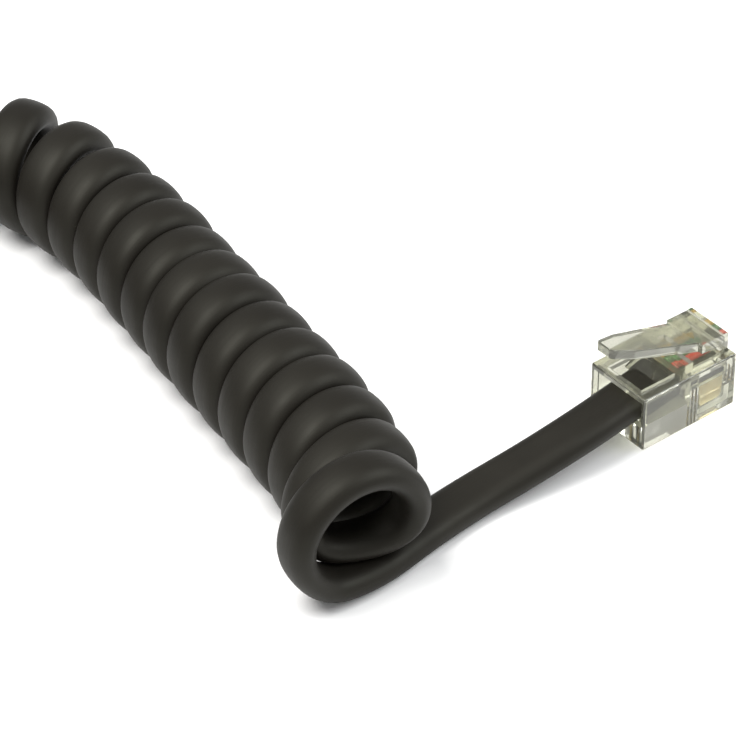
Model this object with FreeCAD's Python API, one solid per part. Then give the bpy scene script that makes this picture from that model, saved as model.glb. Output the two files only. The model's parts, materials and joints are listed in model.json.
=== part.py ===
"""Coiled hand-controller cable with a clear four-contact modular plug at each end, in millimetres.

The row frame: the origin is the centre of plug A's underside, +X is the way plug A goes into its jack,
and +Z is up. The whole cable lies on the plane z = 0. Plug A, its lead and the near end of the coil are
close to the origin. The coil runs off along +Y, bends back on itself and ends in plug B.
"""
import FreeCAD, Part
import math
import os

Vector = FreeCAD.Vector
Z_UP = Vector(0, 0, 1)

# Plug body
PLUG_LENGTH = 11.7
PLUG_WIDTH = 7.65
BODY_HEIGHT = 6.0
EDGE_ROUND = 0.25
REAR = -PLUG_LENGTH / 2
NOSE = PLUG_LENGTH / 2

# Latch, its root on the nose and its hinge
NOSE_BLOCK_WIDTH = 5.0
NOSE_BLOCK_TOP = 7.8
NOSE_BLOCK_SETBACK = 0.02
HINGE_X = 4.75
HINGE_Z = 7.15
BARREL_RADIUS = 0.62
SEAT_RADIUS = 0.68
SHOULDER_X = 2.4
TAB_ROOT_WIDTH = 4.2
TAB_WIDTH = 3.3
TAB_TAPER_X = -5.4
TAB_CORNER = 0.3
TAB_TIP_WIDTH = 1.6
TAB_TIP_X = -7.9
TAB_TIP_TOP = 11.3
TAB_THICKNESS = 1.05
LATCH_EDGE_ROUND = 0.12

# Flat cord and its coil
CORD_WIDTH = 4.9
CORD_THICKNESS = 2.5
COIL_RADIUS = 6.6
CORD_Z_IN_PLUG = 4.0
JACKET_END = -0.7
POCKET_FRONT = 0.3
POCKET_HALF_HEIGHT = 0.5

# Wires and contacts
WIRE_COLOURS = ("yellow", "green", "red", "black")
CONTACT_PITCH = 1.02
WIRE_DIAMETER = 0.98
CORE_DIAMETER = 0.46
WIRE_START = -1.9
WIRE_END = 5.05
CONTACT_THICKNESS = 0.34
CONTACT_REAR = 2.1
CONTACT_FRONT = 5.0
CONTACT_BOTTOM = 0.75
CONTACT_SHOULDER = 3.35
CONTACT_HEEL = 0.3
CONTACT_NOSE = 0.5
CONTACT_NOSE_BULGE = 0.15
TOOTH_TOP = 4.35
TOOTH_APEX = 0.38
TOOTH_BASE = 0.75

# The two clamp bars, each an outline or a box in its crimped place
JACKET_CLAMP_OUTLINE = [(-0.82, 5.95), (-0.82, 5.2), (-1.5, 4.85), (-2.7, 4.7), (-2.9, 5.0), (-1.7, 5.65)]
WIRE_CLAMP_X = (0.75, 1.65)
WIRE_CLAMP_TOP = 5.5
CLAMP_SIDE_GAP = 0.05

# Openings in the plug body
CAVITY_FRONT = 0.2
CAVITY_HALF_WIDTH = 3.25
CAVITY_CLEARANCE = 0.05
MOUTH_DEPTH = 0.6
MOUTH_STEP = 0.15
WINDOW_X = (-5.0, -0.8)
WINDOW_HALF_WIDTH = 2.35
CHANNEL_X = (0.1, 5.25)
CHANNEL_HALF_WIDTH = 2.06
CHANNEL_Z = (3.45, 4.55)
CLAMP_SLOT_X = (0.7, 1.7)
CLAMP_SLOT_HALF_WIDTH = 2.2
BLADE_SLOT_X = (1.95, 5.12)
BLADE_SLOT_WIDTH = 0.42
COMB_SLOT_WIDTH = 0.62
COMB_SLOT_REAR = 2.2
COMB_SLOT_TOP = 1.9
BEYOND = 1.0

# How much of the shorter run beside a corner of a route its arc takes up
ARC_SHARE = 0.45

# Where plug B lies: the centre of its underside, and the way it points
PLUG_B_CENTRE = Vector(-88.16, -6.95, 0)
PLUG_B_HEADING = 255.0

# The cord's routes, from plug A to plug B. Each lead starts or ends inside its plug.
ON_FLOOR = CORD_THICKNESS / 2
LEAD_A_ROUTE = [
    (JACKET_END, -0.05, CORD_Z_IN_PLUG),
    (REAR, -0.75, CORD_Z_IN_PLUG),
    (-11.5, -1.15, 3.6),
    (-17.5, -0.6, 2.3),
    (-24.0, 0.0, ON_FLOOR),
    (-30.5, -0.75, ON_FLOOR),
    (-36.5, -1.9, ON_FLOOR),
]
COIL_ROUTE = [
    (-35.6, -4.6, COIL_RADIUS),
    (-31.2, 25.8, COIL_RADIUS),
    (-26.6, 57.5, COIL_RADIUS),
    (-33.0, 73.0, COIL_RADIUS),
    (-48.5, 80.0, COIL_RADIUS),
    (-64.5, 75.5, COIL_RADIUS),
    (-82.0, 54.0, COIL_RADIUS),
    (-96.0, 33.0, COIL_RADIUS),
]
LEAD_B_ROUTE = [
    (-94.6, 35.0, ON_FLOOR),
    (-88.2, 30.6, ON_FLOOR),
    (-83.9, 23.6, ON_FLOOR),
    (-82.8, 14.8, 1.6),
    (-84.4, 6.3, 2.9),
    (-86.6, -1.2, CORD_Z_IN_PLUG),
    (-87.98, -6.27, CORD_Z_IN_PLUG),
]


def block(x, y, z):
    """A box from its ranges along X, Y and Z."""
    return Part.makeBox(x[1] - x[0], y[1] - y[0], z[1] - z[0], Vector(x[0], y[0], z[0]))


def centred_block(x, half_width, z):
    return block(x, (-half_width, half_width), z)


def side_profile(points, width, y_centre=0.0):
    """A prism of that width along Y, from an outline of (x, z) points."""
    corners = [Vector(x, y_centre - width / 2, z) for x, z in points]
    return Part.Face(Part.makePolygon(corners + corners[:1])).extrude(Vector(0, width, 0))


def plan_profile(points, low, high):
    """A prism from low to high along Z, from an outline of (x, y) points."""
    corners = [Vector(x, y, low) for x, y in points]
    return Part.Face(Part.makePolygon(corners + corners[:1])).extrude(Vector(0, 0, high - low))


def rod(x_start, x_end, y, z, diameter):
    """A round rod along X."""
    return Part.makeCylinder(diameter / 2, x_end - x_start, Vector(x_start, y, z), Vector(1, 0, 0))


def cross_rod(radius, width):
    """A round rod along Y on the latch's hinge axis."""
    return Part.makeCylinder(radius, width, Vector(HINGE_X, -width / 2, HINGE_Z), Vector(0, 1, 0))


def wire_offsets():
    """The four wires' places across the plug, from its left side seen from behind."""
    return [(1.5 - i) * CONTACT_PITCH for i in range(len(WIRE_COLOURS))]


def make_housing():
    body = block((REAR, NOSE), (-PLUG_WIDTH / 2, PLUG_WIDTH / 2), (0, BODY_HEIGHT))
    body = body.makeFillet(EDGE_ROUND, body.Edges)
    block_x = (HINGE_X, NOSE - NOSE_BLOCK_SETBACK)
    root = centred_block(block_x, NOSE_BLOCK_WIDTH / 2, (BODY_HEIGHT - BEYOND, NOSE_BLOCK_TOP))
    top_front = [e for e in root.Edges if all(v.Z > BODY_HEIGHT and v.X > HINGE_X for v in e.Vertexes)]
    body = body.fuse(root.makeFillet(EDGE_ROUND, top_front))
    seat = cross_rod(SEAT_RADIUS, NOSE_BLOCK_WIDTH + BEYOND)
    return body.cut([seat, housing_hollow()]).removeSplitter()


def housing_hollow():
    """Everything that is open inside the plug's body, as one cutter."""
    half = CORD_THICKNESS / 2 + CAVITY_CLEARANCE
    cavity_z = (CORD_Z_IN_PLUG - half, CORD_Z_IN_PLUG + half)
    mouth_z = (cavity_z[0] - MOUTH_STEP, cavity_z[1] + MOUTH_STEP)
    above = BODY_HEIGHT + BEYOND
    cavity = centred_block((REAR - BEYOND, CAVITY_FRONT), CAVITY_HALF_WIDTH, cavity_z)
    mouth = centred_block((REAR - BEYOND, REAR + MOUTH_DEPTH), CAVITY_HALF_WIDTH + MOUTH_STEP, mouth_z)
    window = centred_block(WINDOW_X, WINDOW_HALF_WIDTH, (CORD_Z_IN_PLUG, above))
    channel = centred_block(CHANNEL_X, CHANNEL_HALF_WIDTH, CHANNEL_Z)
    clamp_slot = centred_block(CLAMP_SLOT_X, CLAMP_SLOT_HALF_WIDTH, (CORD_Z_IN_PLUG, above))
    hollow = cavity.fuse([mouth, window, channel, clamp_slot])
    for y in wire_offsets():
        blade = block(
            BLADE_SLOT_X,
            (y - BLADE_SLOT_WIDTH / 2, y + BLADE_SLOT_WIDTH / 2),
            (-BEYOND, CORD_Z_IN_PLUG),
        )
        comb = block(
            (COMB_SLOT_REAR, NOSE + BEYOND),
            (y - COMB_SLOT_WIDTH / 2, y + COMB_SLOT_WIDTH / 2),
            (-BEYOND, COMB_SLOT_TOP),
        )
        hollow = hollow.fuse([blade, comb])
    return hollow


def make_latch():
    """The arm with its two locking shoulders, the finger tab and the hinge barrel at the nose."""
    side = side_profile(
        [
            (HINGE_X, HINGE_Z + BARREL_RADIUS),
            (SHOULDER_X, NOSE_BLOCK_TOP),
            (TAB_TIP_X, TAB_TIP_TOP),
            (TAB_TIP_X, TAB_TIP_TOP - TAB_THICKNESS),
            (SHOULDER_X, NOSE_BLOCK_TOP - TAB_THICKNESS),
            (HINGE_X, HINGE_Z - BARREL_RADIUS),
        ],
        NOSE_BLOCK_WIDTH,
    )
    half = [
        (HINGE_X + BEYOND, NOSE_BLOCK_WIDTH / 2),
        (SHOULDER_X, NOSE_BLOCK_WIDTH / 2),
        (SHOULDER_X, TAB_ROOT_WIDTH / 2),
        (TAB_TAPER_X, TAB_WIDTH / 2),
        (TAB_TIP_X + TAB_CORNER, TAB_TIP_WIDTH / 2 + TAB_CORNER),
        (TAB_TIP_X, TAB_TIP_WIDTH / 2),
    ]
    plan = plan_profile(half + [(x, -y) for x, y in reversed(half)], 0, TAB_TIP_TOP + BEYOND)
    arm = side.common(plan)
    free_edges = [e for e in arm.Edges if all(v.X < HINGE_X - BARREL_RADIUS for v in e.Vertexes)]
    arm = arm.makeFillet(LATCH_EDGE_ROUND, free_edges)
    return arm.fuse(cross_rod(BARREL_RADIUS, NOSE_BLOCK_WIDTH)).removeSplitter()


def make_jacket_clamp():
    """The bar that is pushed down through the window and bites into the jacket."""
    return side_profile(JACKET_CLAMP_OUTLINE, 2 * (WINDOW_HALF_WIDTH - CLAMP_SIDE_GAP))


def make_wire_clamp():
    """The bar that holds the four wires down in their channel."""
    wire_top = CORD_Z_IN_PLUG + WIRE_DIAMETER / 2
    return centred_block(WIRE_CLAMP_X, CLAMP_SLOT_HALF_WIDTH - CLAMP_SIDE_GAP, (wire_top, WIRE_CLAMP_TOP))


def make_contact(y):
    """A blade with a rounded nose below and two teeth that pierce the wire above it."""
    outline = [
        (CONTACT_REAR, CONTACT_BOTTOM + CONTACT_HEEL),
        (CONTACT_REAR + CONTACT_HEEL, CONTACT_BOTTOM),
        (CONTACT_FRONT - CONTACT_NOSE, CONTACT_BOTTOM),
        (CONTACT_FRONT - CONTACT_NOSE_BULGE, CONTACT_BOTTOM + CONTACT_NOSE_BULGE),
        (CONTACT_FRONT, CONTACT_BOTTOM + CONTACT_NOSE),
        (CONTACT_FRONT, CONTACT_SHOULDER),
        (CONTACT_FRONT - TOOTH_APEX, TOOTH_TOP),
        (CONTACT_FRONT - TOOTH_BASE, CONTACT_SHOULDER),
        (CONTACT_REAR + TOOTH_BASE, CONTACT_SHOULDER),
        (CONTACT_REAR + TOOTH_APEX, TOOTH_TOP),
        (CONTACT_REAR, CONTACT_SHOULDER),
    ]
    return side_profile(outline, CONTACT_THICKNESS, y)


def make_wire(y):
    """The coloured insulation of one wire, as a tube."""
    outside = rod(WIRE_START, WIRE_END, y, CORD_Z_IN_PLUG, WIRE_DIAMETER)
    return outside.cut(rod(WIRE_START - BEYOND, WIRE_END + BEYOND, y, CORD_Z_IN_PLUG, CORE_DIAMETER))


def make_cores():
    """The copper foil cores of the four wires, as four separate solids."""
    return Part.makeCompound(
        [rod(WIRE_START, WIRE_END, y, CORD_Z_IN_PLUG, CORE_DIAMETER) for y in wire_offsets()]
    )


def make_plug(name):
    """Every piece of one plug but the cord's jacket, by node name, with the plug at the origin."""
    pieces = {
        name + "_housing": make_housing(),
        name + "_latch": make_latch(),
        name + "_jacket_clamp": make_jacket_clamp(),
        name + "_wire_clamp": make_wire_clamp(),
        name + "_tinsel_cores": make_cores(),
    }
    for number, (colour, y) in enumerate(zip(WIRE_COLOURS, wire_offsets()), start=1):
        pieces[f"{name}_contact_{number}"] = make_contact(y)
        pieces[f"{name}_wire_{colour}"] = make_wire(y)
    return pieces


def rounded_path(points):
    """Straight runs joined by tangent arcs through a list of points, and the arcs' radii."""
    points = [Vector(*p) for p in points]
    edges, radii, start = [], [], points[0]
    for before, corner, after in zip(points, points[1:], points[2:]):
        into, out = corner - before, after - corner
        turn = into.getAngle(out)
        radius = ARC_SHARE * min(into.Length, out.Length) / math.tan(turn / 2)
        cut = ARC_SHARE * min(into.Length, out.Length)
        into.normalize()
        out.normalize()
        first, last = corner - into * cut, corner + out * cut
        inward = out - into
        inward.normalize()
        middle = corner + inward * (radius / math.cos(turn / 2) - radius)
        edges += [Part.LineSegment(start, first).toShape(), Part.Arc(first, middle, last).toShape()]
        radii.append(round(radius, 1))
        start = last
    edges.append(Part.LineSegment(start, points[-1]).toShape())
    return Part.Wire(edges), radii


def flat_section(at, direction):
    """The flat cord's outline: two flats and two half-round edges, square to the route."""
    across = Z_UP.cross(direction)
    across.normalize()
    up = direction.cross(across)
    up.normalize()
    radius = CORD_THICKNESS / 2
    flat = across * (CORD_WIDTH / 2 - radius)
    rise = up * radius
    tip = across * (CORD_WIDTH / 2)
    edges = [
        Part.LineSegment(at - flat + rise, at + flat + rise).toShape(),
        Part.Arc(at + flat + rise, at + tip, at + flat - rise).toShape(),
        Part.LineSegment(at + flat - rise, at - flat - rise).toShape(),
        Part.Arc(at - flat - rise, at - tip, at - flat + rise).toShape(),
    ]
    return Part.Wire(edges)


def swept(name, points, section, area):
    """A solid along a rounded route. Its volume is printed beside its section times its length."""
    path, radii = rounded_path(points)
    solid = path.makePipeShell([section], True, False)
    print(name, "radii", radii, "length", round(path.Length, 1))
    print(name, "volume", round(solid.Volume, 1), "section x length", round(area * path.Length, 1))
    return solid


def make_lead(name, points):
    direction = Vector(*points[1]) - Vector(*points[0])
    direction.normalize()
    radius = CORD_THICKNESS / 2
    area = math.pi * radius**2 + (CORD_WIDTH - CORD_THICKNESS) * CORD_THICKNESS
    return swept(name, points, flat_section(Vector(*points[0]), direction), area)


def make_coil():
    start = Vector(*COIL_ROUTE[0])
    direction = Vector(*COIL_ROUTE[1]) - start
    section = Part.Wire(Part.makeCircle(COIL_RADIUS, start, direction))
    return swept("coil_jacket", COIL_ROUTE, section, math.pi * COIL_RADIUS**2)


def wire_pocket():
    """The room in the jacket's end for the four wires that go on into it."""
    pocket_z = (CORD_Z_IN_PLUG - POCKET_HALF_HEIGHT, CORD_Z_IN_PLUG + POCKET_HALF_HEIGHT)
    return centred_block((WIRE_START, POCKET_FRONT), CHANNEL_HALF_WIDTH, pocket_z)


def placed(shape, centre, heading):
    moved = shape.copy()
    moved.Placement = FreeCAD.Placement(centre, FreeCAD.Rotation(Z_UP, heading))
    return moved


def jacket_openings():
    """What is cut from a jacket in its plug: the wires' pocket and the clamp's bite."""
    return [wire_pocket(), make_jacket_clamp()]


def make_nodes():
    nodes = make_plug("plug_a")
    for node, shape in make_plug("plug_b").items():
        nodes[node] = placed(shape, PLUG_B_CENTRE, PLUG_B_HEADING)
    lead_a = make_lead("lead_a_jacket", LEAD_A_ROUTE)
    lead_b = make_lead("lead_b_jacket", LEAD_B_ROUTE)
    for cutter in jacket_openings():
        lead_a = lead_a.cut(cutter)
        lead_b = lead_b.cut(placed(cutter, PLUG_B_CENTRE, PLUG_B_HEADING))
    nodes["lead_a_jacket"] = lead_a
    nodes["lead_b_jacket"] = lead_b
    nodes["coil_jacket"] = make_coil()
    return nodes


os.makedirs("parts", exist_ok=True)
for node, shape in make_nodes().items():
    print(node, "valid" if shape.isValid() else "NOT VALID", len(shape.Solids), round(shape.Volume, 2))
    shape.exportStep(f"parts/{node}.step")
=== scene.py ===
import json
import math

import bpy
import numpy as np
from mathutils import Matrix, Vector


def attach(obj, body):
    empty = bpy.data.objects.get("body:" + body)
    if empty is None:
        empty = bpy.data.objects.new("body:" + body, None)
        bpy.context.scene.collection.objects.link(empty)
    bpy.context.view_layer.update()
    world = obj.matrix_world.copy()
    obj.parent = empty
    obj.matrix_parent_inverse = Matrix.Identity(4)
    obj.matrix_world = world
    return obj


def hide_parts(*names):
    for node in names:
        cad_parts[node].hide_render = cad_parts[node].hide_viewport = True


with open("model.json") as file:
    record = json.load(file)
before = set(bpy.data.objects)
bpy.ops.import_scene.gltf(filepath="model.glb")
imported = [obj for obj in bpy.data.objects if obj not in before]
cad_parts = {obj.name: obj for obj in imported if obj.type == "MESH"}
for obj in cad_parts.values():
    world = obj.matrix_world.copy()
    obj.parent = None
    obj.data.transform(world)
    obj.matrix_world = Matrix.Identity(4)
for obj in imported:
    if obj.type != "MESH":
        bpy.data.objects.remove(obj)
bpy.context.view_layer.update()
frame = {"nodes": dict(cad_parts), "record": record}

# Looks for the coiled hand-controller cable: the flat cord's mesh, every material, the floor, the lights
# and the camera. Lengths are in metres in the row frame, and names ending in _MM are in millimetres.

MM = 0.001
UP = np.array([0.0, 0.0, 1.0])

# Camera
CAMERA_PLACE = Vector((-0.20869, -0.21468, 0.23780))
CAMERA_TARGET = Vector((-0.01796, 0.02229, 0.0))
CAMERA_LENS = 195.65
CAMERA_SENSOR = 36.0

# Flat cord
CORD_WIDTH_MM = 4.9
CORD_THICKNESS_MM = 2.5
ON_FLOOR_MM = CORD_THICKNESS_MM / 2
COIL_RADIUS_MM = 6.6
CORD_Z_IN_PLUG_MM = 4.0

# The cord's routes, as in the CAD part
LEAD_A_ROUTE_MM = [
    (-0.7, -0.05, CORD_Z_IN_PLUG_MM),
    (-5.85, -0.75, CORD_Z_IN_PLUG_MM),
    (-11.5, -1.15, 3.6),
    (-17.5, -0.6, 2.3),
    (-24.0, 0.0, ON_FLOOR_MM),
    (-30.5, -0.75, ON_FLOOR_MM),
    (-36.5, -1.9, ON_FLOOR_MM),
]
COIL_ROUTE_MM = [
    (-35.6, -4.6, COIL_RADIUS_MM),
    (-31.2, 25.8, COIL_RADIUS_MM),
    (-26.6, 57.5, COIL_RADIUS_MM),
    (-33.0, 73.0, COIL_RADIUS_MM),
    (-48.5, 80.0, COIL_RADIUS_MM),
    (-64.5, 75.5, COIL_RADIUS_MM),
    (-82.0, 54.0, COIL_RADIUS_MM),
    (-96.0, 33.0, COIL_RADIUS_MM),
]
LEAD_B_ROUTE_MM = [
    (-94.6, 35.0, ON_FLOOR_MM),
    (-88.2, 30.6, ON_FLOOR_MM),
    (-83.9, 23.6, ON_FLOOR_MM),
    (-82.8, 14.8, 1.6),
    (-84.4, 6.3, 2.9),
    (-86.6, -1.2, CORD_Z_IN_PLUG_MM),
    (-87.98, -6.27, CORD_Z_IN_PLUG_MM),
]

# Turns of the coil. FIRST_TURN_MM and LAST_TURN_MM are how far the winding starts after, and stops before,
# the ends of the coil's axis. Past EVENED_FROM_MM the turns are spaced so that they end on a whole one.
TURN_PITCH_MM = 4.87
POINTS_PER_TURN = 20
FIRST_TURN_MM = 0.05
LAST_TURN_MM = CORD_WIDTH_MM / 2
EVENED_FROM_MM = 65.0
# How the pitch varies along the axis: share of the pitch, millimetres per radian, and start
PITCH_WAVES = [(0.02, 3.7, 1.0), (0.015, 8.3, 0.0)]
# How the outer radius varies: height in millimetres, radians per turn, and start
RADIUS_WAVES = [(0.05, 2.1, 0.0), (0.04, 5.3, 2.0)]
# Shape of the turns: turn, how far it is moved along the axis and to the left, its outer
# radius, and how far its underside is lifted. The first turns, by plug A, are loose and lie over the lead.
# The last row makes the rest of the coil a little thinner.
TURN_SHAPES = [
    (0.0, 2.2, 3.8, 7.5, 0.0),
    (0.25, 0.5, 3.7, 7.5, 0.0),
    (0.5, -0.6, 3.4, 7.3, 0.0),
    (0.75, -1.35, 3.3, 6.8, 1.0),
    (1.0, -0.85, 3.0, 6.4, 2.5),
    (1.25, -0.6, 2.0, 6.5, 1.5),
    (1.5, -0.25, 1.2, 6.6, 0.5),
    (2.0, 0.0, 0.4, 6.6, 0.0),
    (2.5, 0.0, 0.1, 6.6, 0.0),
    (3.5, 0.0, 0.0, COIL_RADIUS_MM, 0.0),
    (6.0, 0.0, 0.0, COIL_RADIUS_MM, 0.0),
    (11.0, 0.0, 0.0, 6.4, 0.0),
]

# Mesh of the cord
AXIS_STEP_MM = 0.1
AXIS_SPLINE_STEPS = 40
LEAD_IN_MM = 5.0
BEND_SPREAD = 161
SPLINE_STEPS = 4
EDGE_STEPS = 8
FLAT_STEPS = 6
COILED_SPREAD = 25
# How the section changes where the cord is coiled
COILED_NARROWER = 0.015
COILED_THINNER = 0.25
COILED_CROWN_MM = 0.42

# Floor
FLOOR_HALF = 3.0
FLOOR_DROP = 0.00005


def smooth(t):
    """0 below 0, 1 above 1, and an even rise between."""
    t = np.clip(t, 0.0, 1.0)
    return t * t * (3.0 - 2.0 * t)


def unit(vectors):
    return vectors / np.linalg.norm(vectors, axis=-1, keepdims=True)


def remove_curve(holder):
    curve = holder.data
    bpy.data.objects.remove(holder)
    bpy.data.curves.remove(curve)


def spline_line(points, steps):
    """The smooth line of a NURBS spline with these control points, in the same unit as the points."""
    curve = bpy.data.curves.new("route", "CURVE")
    curve.dimensions = "3D"
    spline = curve.splines.new("NURBS")
    spline.points.add(len(points) - 1)
    for point, place in zip(spline.points, points):
        point.co = (*place, 1.0)
    spline.order_u = 3
    spline.use_endpoint_u = True
    spline.resolution_u = steps
    holder = bpy.data.objects.new("route", curve)
    mesh = bpy.data.meshes.new_from_object(holder)
    line = np.array([v.co for v in mesh.vertices], float)
    bpy.data.meshes.remove(mesh)
    remove_curve(holder)
    return line


def distances(line):
    """How far along the line each of its points is."""
    steps = np.linalg.norm(np.diff(line, axis=0), axis=1)
    return np.concatenate([[0.0], np.cumsum(steps)])


def eased(places, values, wanted):
    """A smooth curve through the values, level at its last one and flat after it."""
    slopes = np.gradient(values, places)
    slopes[-1] = 0.0
    i = np.clip(np.searchsorted(places, wanted) - 1, 0, len(places) - 2)
    step = places[i + 1] - places[i]
    t = np.clip((wanted - places[i]) / step, 0.0, 1.0)
    start = (2 * t**3 - 3 * t**2 + 1) * values[i] + (t**3 - 2 * t**2 + t) * step * slopes[i]
    end = (3 * t**2 - 2 * t**3) * values[i + 1] + (t**3 - t**2) * step * slopes[i + 1]
    return start + end


def coil_control_points():
    """The helix's points and the way the cord's width lies at each, worked out along the coil's axis."""
    axis = spline_line(COIL_ROUTE_MM, AXIS_SPLINE_STEPS)
    before = axis[0] - LEAD_IN_MM * unit(axis[1] - axis[0])
    axis = np.concatenate([[before], axis])
    along = distances(axis) - LEAD_IN_MM
    places = np.arange(FIRST_TURN_MM, along[-1], AXIS_STEP_MM)
    axis = np.stack([np.interp(places, along, axis[:, k]) for k in range(3)], axis=1)
    forward = unit(np.gradient(axis, places, axis=0))
    bend = np.linalg.norm(np.gradient(forward, places, axis=0), axis=1)
    bend = np.convolve(bend, np.ones(BEND_SPREAD) / BEND_SPREAD, mode="same")

    uneven = sum(share * np.sin(places / length + start) for share, length, start in PITCH_WAVES)
    pitch = TURN_PITCH_MM * (1.0 + uneven) / (1.0 - COIL_RADIUS_MM * bend)
    turns = np.cumsum(AXIS_STEP_MM / pitch)
    end = places[-1] - LAST_TURN_MM
    total = np.interp(end, places, turns)
    whole = round(total)
    turns += (whole - total) * smooth((places - EVENED_FROM_MM) / (end - EVENED_FROM_MM))

    wanted = np.arange(0, whole * POINTS_PER_TURN + 1) / POINTS_PER_TURN
    shapes = np.array(TURN_SHAPES).T
    shift, sideways, outer, lift = (eased(shapes[0], values, wanted) for values in shapes[1:])
    at = np.interp(wanted, turns, places) + shift
    centre = np.stack([np.interp(at, places, axis[:, k]) for k in range(3)], axis=1)
    ahead = unit(np.stack([np.interp(at, places, forward[:, k]) for k in range(3)], axis=1))
    right = np.cross(ahead, UP)

    outer = outer + sum(height * np.sin(wanted * rate + start) for height, rate, start in RADIUS_WAVES)
    # A spline of order 3 passes inside its points by this share of their radius
    drawn_in = 0.75 + 0.25 * math.cos(2 * math.pi / POINTS_PER_TURN)
    reach = ((outer - CORD_THICKNESS_MM / 2) / drawn_in)[:, None]
    turn = 2 * math.pi * wanted
    centre = centre - sideways[:, None] * right
    centre[:, 2] = outer + lift * (1.0 + np.cos(turn)) / 2
    helix = centre + reach * (-np.cos(turn)[:, None] * UP - np.sin(turn)[:, None] * right)
    return helix, -ahead


def cord_line():
    """The cord's whole centreline, the way its width lies, and how coiled it is, at evenly placed points."""
    helix, helix_across = coil_control_points()
    lead_a = np.array(LEAD_A_ROUTE_MM)
    lead_b = np.array(LEAD_B_ROUTE_MM)
    control = np.concatenate([lead_a, helix[1:-1], lead_b])
    coiled = np.zeros(len(control))
    coiled[len(lead_a) : -len(lead_b)] = 1.0
    across = np.zeros_like(control)
    across[len(lead_a) : -len(lead_b)] = helix_across[1:-1]
    for first, points in ((0, lead_a), (len(control) - len(lead_b), lead_b)):
        way = unit(np.gradient(points, axis=0))
        across[first : first + len(points)] = unit(np.cross(UP, way))

    line = spline_line(control, SPLINE_STEPS)
    numbers = np.linspace(0.0, len(control) - 2.0, len(line)) + 0.5
    numbers[0], numbers[-1] = 0.0, len(control) - 1.0
    index = np.arange(len(control))
    across = np.stack([np.interp(numbers, index, across[:, k]) for k in range(3)], axis=1)
    spread = np.ones(COILED_SPREAD) / COILED_SPREAD
    coiled = smooth(np.convolve(np.interp(numbers, index, coiled), spread, mode="same"))
    return line, across, coiled


def cord_section():
    """The flat cord's outline in millimetres, as (across, up) pairs: two flats joined by two half circles."""
    radius = CORD_THICKNESS_MM / 2
    flat = CORD_WIDTH_MM / 2 - radius
    outline = []
    for side in (1, -1):
        for i in range(FLAT_STEPS):
            outline.append((side * flat * (2 * i / FLAT_STEPS - 1), -side * radius))
        for i in range(EDGE_STEPS):
            angle = math.pi * (i / EDGE_STEPS - 0.5)
            outline.append((side * (flat + radius * math.cos(angle)), side * radius * math.sin(angle)))
    return np.array(outline)


def mesh_piece(name, vertices, faces):
    mesh = bpy.data.meshes.new(name)
    mesh.from_pydata([tuple(v) for v in vertices], [], faces)
    mesh.update()
    piece = bpy.data.objects.new(name, mesh)
    bpy.context.scene.collection.objects.link(piece)
    return piece


def make_cord():
    line, across, coiled = cord_line()
    way = unit(np.gradient(line, axis=0))
    across = unit(across - (across * way).sum(1, keepdims=True) * way)
    up = np.cross(way, across)
    outline = cord_section()
    count = len(outline)
    crown = COILED_CROWN_MM * (1.0 - (outline[:, 0] / (CORD_WIDTH_MM / 2)) ** 2) * np.sign(outline[:, 1])
    rings = []
    for place, a, u, c in zip(line, across, up, coiled):
        x = outline[:, 0] * (1.0 - COILED_NARROWER * c)
        y = outline[:, 1] * (1.0 - COILED_THINNER * c) + crown * c
        rings.append(place + x[:, None] * a + y[:, None] * u)
    vertices = np.concatenate(rings) * MM
    faces = []
    for i in range(len(rings) - 1):
        for j in range(count):
            k = (j + 1) % count
            faces.append((i * count + j, i * count + k, (i + 1) * count + k, (i + 1) * count + j))
    faces.append(tuple(reversed(range(count))))
    faces.append(tuple(range((len(rings) - 1) * count, len(rings) * count)))
    cord = mesh_piece("flat_cord", vertices, faces)
    add_cord_uv(cord, distances(line), outline)
    for polygon in cord.data.polygons:
        polygon.use_smooth = len(polygon.vertices) == 4
    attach(cord, "cable")
    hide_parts("lead_a_jacket", "coil_jacket", "lead_b_jacket")
    return cord


def add_cord_uv(cord, along, outline):
    """A map of the jacket in millimetres: along the cord, and round its section."""
    count = len(outline)
    closed = np.concatenate([outline, outline[:1]])
    around = distances(closed)
    layer = cord.data.uv_layers.new(name="jacket")
    loop = 0
    for i in range(len(along) - 1):
        for j in range(count):
            for ring, side in ((i, j), (i, j + 1), (i + 1, j + 1), (i + 1, j)):
                layer.data[loop].uv = (along[ring], around[side])
                loop += 1


def make_camera():
    data = bpy.data.cameras.new("camera")
    data.lens = CAMERA_LENS
    data.sensor_width = CAMERA_SENSOR
    data.clip_start = 0.01
    data.clip_end = 20.0
    camera = bpy.data.objects.new("camera", data)
    camera.location = CAMERA_PLACE
    camera.rotation_euler = (CAMERA_TARGET - CAMERA_PLACE).to_track_quat("-Z", "Y").to_euler()
    bpy.context.scene.collection.objects.link(camera)
    bpy.context.scene.camera = camera


# Materials


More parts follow.
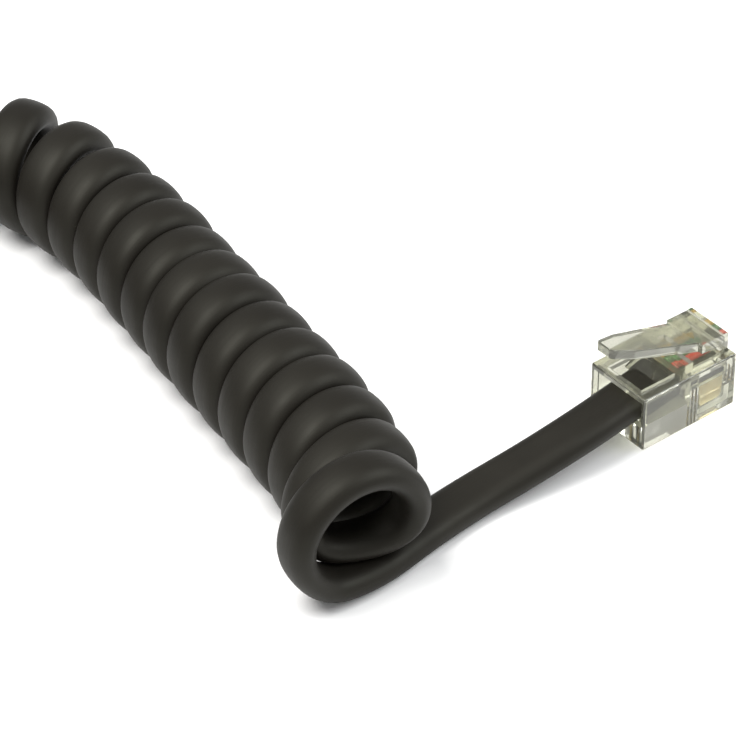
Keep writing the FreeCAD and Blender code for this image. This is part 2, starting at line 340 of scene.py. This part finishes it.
class Nodes:
    """A material's node tree with short ways to add and join nodes."""

    def __init__(self, name):
        self.material = bpy.data.materials.new(name)
        self.material.use_nodes = True
        self.tree = self.material.node_tree
        self.tree.nodes.clear()
        self.output = self.add("ShaderNodeOutputMaterial")

    def add(self, kind, **values):
        node = self.tree.nodes.new(kind)
        for name, value in values.items():
            setattr(node, name, value)
        return node

    def set(self, node, **inputs):
        for name, value in inputs.items():
            node.inputs[name.replace("_", " ")].default_value = value
        return node

    def join(self, start, end):
        self.tree.links.new(start, end)

    def noise(self, vector, scale, detail=3.0, roughness=0.5):
        node = self.set(self.add("ShaderNodeTexNoise"), Scale=scale, Detail=detail, Roughness=roughness)
        self.join(vector, node.inputs["Vector"])
        return node.outputs["Fac"]

    def ramp(self, value, low, high, low_colour, high_colour):
        node = self.add("ShaderNodeValToRGB")
        node.color_ramp.elements[0].position = low
        node.color_ramp.elements[0].color = low_colour
        node.color_ramp.elements[1].position = high
        node.color_ramp.elements[1].color = high_colour
        self.join(value, node.inputs["Fac"])
        return node.outputs["Color"]

    def spread(self, value, low, high):
        """A value from 0 to 1 spread from low to high."""
        node = self.add("ShaderNodeMapRange")
        node.inputs["To Min"].default_value = low
        node.inputs["To Max"].default_value = high
        self.join(value, node.inputs["Value"])
        return node.outputs["Result"]

    def bump(self, height, strength, distance):
        node = self.set(self.add("ShaderNodeBump"), Strength=strength, Distance=distance)
        self.join(height, node.inputs["Height"])
        return node

    def stretched(self, vector, scale):
        node = self.add("ShaderNodeMapping")
        node.inputs["Scale"].default_value = scale
        self.join(vector, node.inputs["Vector"])
        return node.outputs["Vector"]


def object_place(nodes):
    return nodes.add("ShaderNodeTexCoord").outputs["Object"]


def jacket_material():
    """Satin black PVC: warm, a little uneven in tone and gloss, with faint lines from the extruder."""
    nodes = Nodes("cord_jacket_pvc")
    place = object_place(nodes)
    shader = nodes.add("ShaderNodeBsdfPrincipled")
    tone = nodes.noise(place, 90.0, detail=5.0, roughness=0.6)
    colour = nodes.ramp(tone, 0.3, 0.7, (0.0060, 0.0048, 0.0034, 1), (0.0105, 0.0090, 0.0068, 1))
    nodes.join(colour, shader.inputs["Base Color"])
    gloss = nodes.noise(place, 420.0, detail=4.0)
    nodes.join(nodes.spread(gloss, 0.48, 0.62), shader.inputs["Roughness"])
    uv = nodes.add("ShaderNodeUVMap", uv_map="jacket").outputs["UV"]
    lines = nodes.noise(nodes.stretched(uv, (0.05, 3.0, 1.0)), 1.0, detail=4.0)
    grain = nodes.noise(place, 5200.0, detail=2.0)
    line_bump = nodes.bump(lines, 0.25, 0.00006)
    grain_bump = nodes.bump(grain, 0.3, 0.00002)
    nodes.join(line_bump.outputs["Normal"], grain_bump.inputs["Normal"])
    nodes.join(grain_bump.outputs["Normal"], shader.inputs["Normal"])
    shader.inputs["Specular IOR Level"].default_value = 0.25
    shader.inputs["Specular Tint"].default_value = (1.0, 1.0, 0.88, 1)
    nodes.join(shader.outputs["BSDF"], nodes.output.inputs["Surface"])
    return nodes.material


def clear_plastic_material():
    """Clear plastic with a grey-green tint and a slight haze, faint flow marks and fine rubbing."""
    nodes = Nodes("clear_polycarbonate")
    place = object_place(nodes)
    shader = nodes.add("ShaderNodeBsdfPrincipled")
    flow = nodes.noise(place, 260.0, detail=3.0)
    colour = nodes.ramp(flow, 0.3, 0.7, (0.48, 0.48, 0.41, 1), (0.58, 0.58, 0.50, 1))
    nodes.join(colour, shader.inputs["Base Color"])
    rub = nodes.noise(place, 1500.0, detail=4.0, roughness=0.6)
    nodes.join(nodes.spread(rub, 0.03, 0.10), shader.inputs["Roughness"])
    shader.inputs["Transmission Weight"].default_value = 0.95
    shader.inputs["IOR"].default_value = 1.5
    wave = nodes.bump(flow, 0.15, 0.00008)
    nodes.join(wave.outputs["Normal"], shader.inputs["Normal"])
    passing = nodes.add("ShaderNodeBsdfTransparent")
    passing.inputs["Color"].default_value = (0.86, 0.86, 0.80, 1)
    mix = nodes.add("ShaderNodeMixShader")
    light_path = nodes.add("ShaderNodeLightPath")
    nodes.join(light_path.outputs["Is Shadow Ray"], mix.inputs["Fac"])
    nodes.join(shader.outputs["BSDF"], mix.inputs[1])
    nodes.join(passing.outputs["BSDF"], mix.inputs[2])
    nodes.join(mix.outputs["Shader"], nodes.output.inputs["Surface"])
    return nodes.material


def metal_material(name, low, high, roughness, streaks):
    """Bright metal with fine rubbed streaks and a slightly uneven tone."""
    nodes = Nodes(name)
    place = object_place(nodes)
    shader = nodes.add("ShaderNodeBsdfPrincipled")
    tone = nodes.noise(place, 700.0, detail=4.0)
    nodes.join(nodes.ramp(tone, 0.3, 0.7, low, high), shader.inputs["Base Color"])
    rub = nodes.noise(nodes.stretched(place, streaks), 1.0, detail=4.0)
    nodes.join(nodes.spread(rub, *roughness), shader.inputs["Roughness"])
    nodes.join(nodes.bump(rub, 0.3, 0.00002).outputs["Normal"], shader.inputs["Normal"])
    shader.inputs["Metallic"].default_value = 1.0
    nodes.join(shader.outputs["BSDF"], nodes.output.inputs["Surface"])
    return nodes.material


def wire_material(name, low, high):
    """Semi-gloss wire insulation with a slightly uneven tone and a fine skin."""
    nodes = Nodes(name)
    place = object_place(nodes)
    shader = nodes.add("ShaderNodeBsdfPrincipled")
    tone = nodes.noise(place, 600.0, detail=4.0)
    nodes.join(nodes.ramp(tone, 0.3, 0.7, low, high), shader.inputs["Base Color"])
    nodes.join(nodes.spread(tone, 0.28, 0.45), shader.inputs["Roughness"])
    skin = nodes.noise(place, 4000.0, detail=2.0)
    nodes.join(nodes.bump(skin, 0.25, 0.00002).outputs["Normal"], shader.inputs["Normal"])
    nodes.join(shader.outputs["BSDF"], nodes.output.inputs["Surface"])
    return nodes.material


def slot_materials():
    return {
        "clear_plastic": clear_plastic_material(),
        "contact_gold": metal_material(
            "gold_plate", (0.93, 0.76, 0.46, 1), (0.98, 0.87, 0.62, 1), (0.28, 0.44), (300, 300, 6000)
        ),
        "tinsel_copper": metal_material(
            "copper_foil", (0.70, 0.32, 0.16, 1), (0.88, 0.48, 0.28, 1), (0.2, 0.4), (5000, 700, 700)
        ),
        "wire_yellow": wire_material("wire_yellow_pvc", (0.50, 0.30, 0.04, 1), (0.62, 0.41, 0.07, 1)),
        "wire_green": wire_material("wire_green_pvc", (0.03, 0.15, 0.05, 1), (0.05, 0.22, 0.08, 1)),
        "wire_red": wire_material("wire_red_pvc", (0.50, 0.012, 0.012, 1), (0.68, 0.03, 0.025, 1)),
        "wire_black": wire_material("wire_black_pvc", (0.010, 0.010, 0.010, 1), (0.022, 0.021, 0.020, 1)),
    }


def dress_nodes():
    """Every CAD node that shows gets the material of its slot."""
    materials = slot_materials()
    for part in frame["record"]["subparts"]:
        node = frame["nodes"][part["node"]]
        material = materials.get(part["material_slot"])
        if material is None:
            continue
        node.data.materials.clear()
        node.data.materials.append(material)


def floor_material():
    nodes = Nodes("white_sweep")
    place = object_place(nodes)
    shader = nodes.add("ShaderNodeBsdfPrincipled")
    tone = nodes.noise(place, 6.0)
    colour = nodes.ramp(tone, 0.3, 0.7, (0.90, 0.90, 0.90, 1), (0.92, 0.92, 0.92, 1))
    nodes.join(colour, shader.inputs["Base Color"])
    shader.inputs["Roughness"].default_value = 0.8
    nodes.join(shader.outputs["BSDF"], nodes.output.inputs["Surface"])
    return nodes.material


def make_floor():
    half = FLOOR_HALF
    corners = [(-half, -half, 0), (half, -half, 0), (half, half, 0), (-half, half, 0)]
    floor = mesh_piece("floor", corners, [(0, 1, 2, 3)])
    floor.location.z = -FLOOR_DROP
    floor.data.materials.append(floor_material())


def area_light(name, place, target, size, power, colour=(1, 1, 1)):
    data = bpy.data.lights.new(name, "AREA")
    data.shape = "DISK"
    data.size = size
    data.energy = power
    data.color = colour
    light = bpy.data.objects.new(name, data)
    light.location = place
    light.rotation_euler = (Vector(target) - Vector(place)).to_track_quat("-Z", "Y").to_euler()
    bpy.context.scene.collection.objects.link(light)


def make_lights():
    middle = (-0.03, 0.02, 0.0)
    area_light("key", (-0.35, 0.15, 0.75), middle, 0.55, 8.5, (1.0, 0.99, 0.97))
    area_light("fill", (0.5, -0.35, 0.6), middle, 0.6, 5.0, (0.97, 0.99, 1.0))
    world = bpy.data.worlds.new("studio")
    world.use_nodes = True
    background = world.node_tree.nodes["Background"]
    background.inputs["Color"].default_value = (1.0, 1.0, 1.0, 1)
    background.inputs["Strength"].default_value = 0.5
    bpy.context.scene.world = world


make_camera()
cord = make_cord()
cord.data.materials.append(jacket_material())
dress_nodes()
make_floor()
make_lights()
bpy.context.scene.view_settings.view_transform = "Standard"

bpy.context.view_layer.update()
